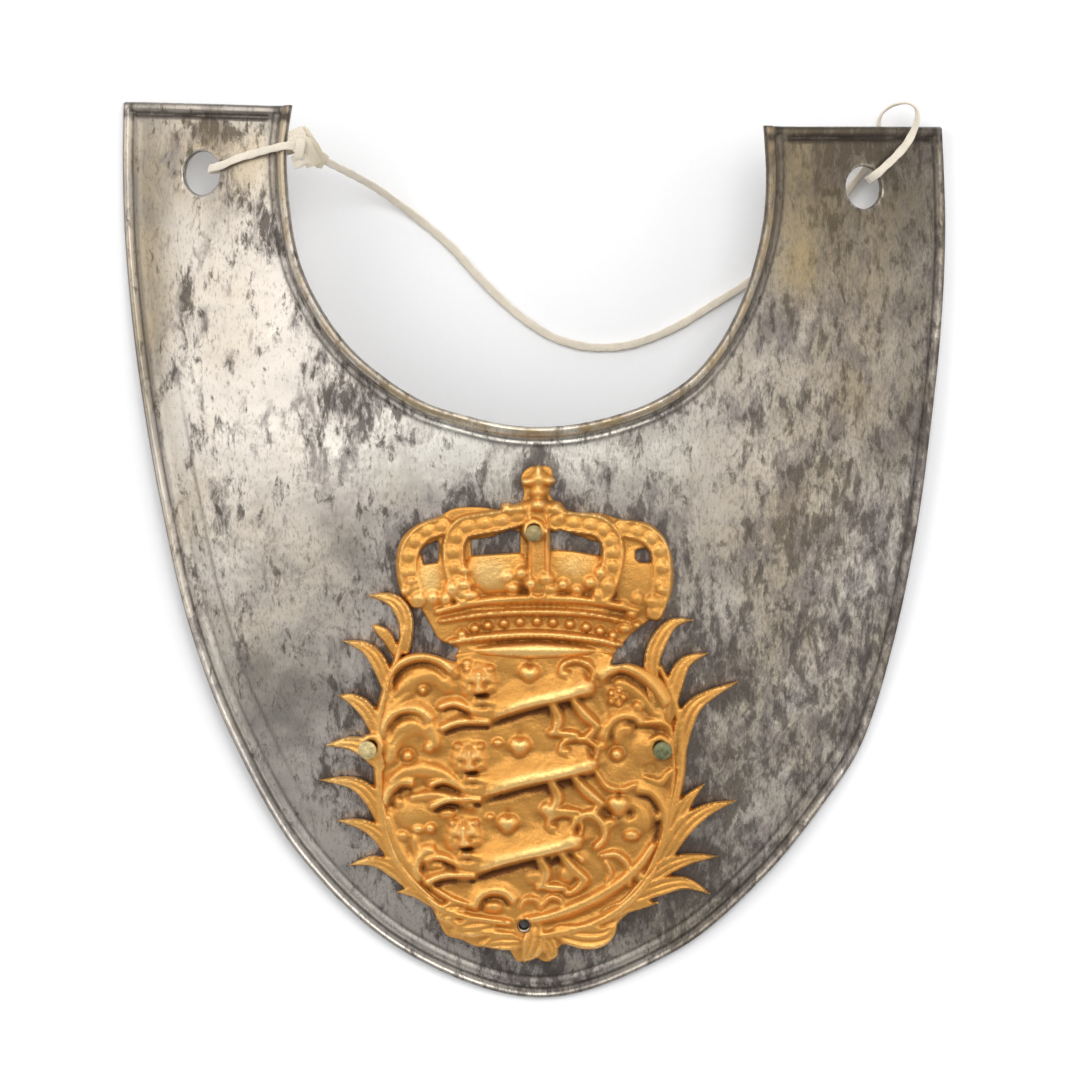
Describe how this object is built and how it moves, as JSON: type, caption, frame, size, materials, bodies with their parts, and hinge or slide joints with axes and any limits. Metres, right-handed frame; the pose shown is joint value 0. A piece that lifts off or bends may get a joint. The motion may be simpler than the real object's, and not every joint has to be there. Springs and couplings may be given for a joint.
{
  "type": "gorget",
  "caption": "Crescent-shaped silvered neck plate with a gilt cast and pierced crowned shield between leafy branches, worn at the throat on a white tape.",
  "frame": {"origin": "on the surface that it lies on, under the middle of its outline", "axes": "+Z out of the front, up from the surface; +Y towards the two arms' ends; +X to the right of someone who looks at the front"},
  "size_m": [0.1664, 0.1813, 0.0346],
  "materials": {
    "silvered_plate": "worn silver plating over copper alloy, scratched, speckled and stained",
    "gilt_casting": "gilt casting, warm gold with redder recesses",
    "pin_metal": "dull grey-green pin heads",
    "cotton_tape": "thin matt white cotton tape"
  },
  "bodies": {
    "root": {"plate": "silvered_plate", "gilt_mount": "gilt_casting", "rivet_left": "pin_metal", "rivet_right": "pin_metal", "rivet_crown": "pin_metal", "tape_left_loop": "cotton_tape", "tape_left_knot": "cotton_tape", "tape_span": "cotton_tape", "tape_right_knot": "cotton_tape", "tape_right_loop": "cotton_tape"}
  },
  "joints": []
}
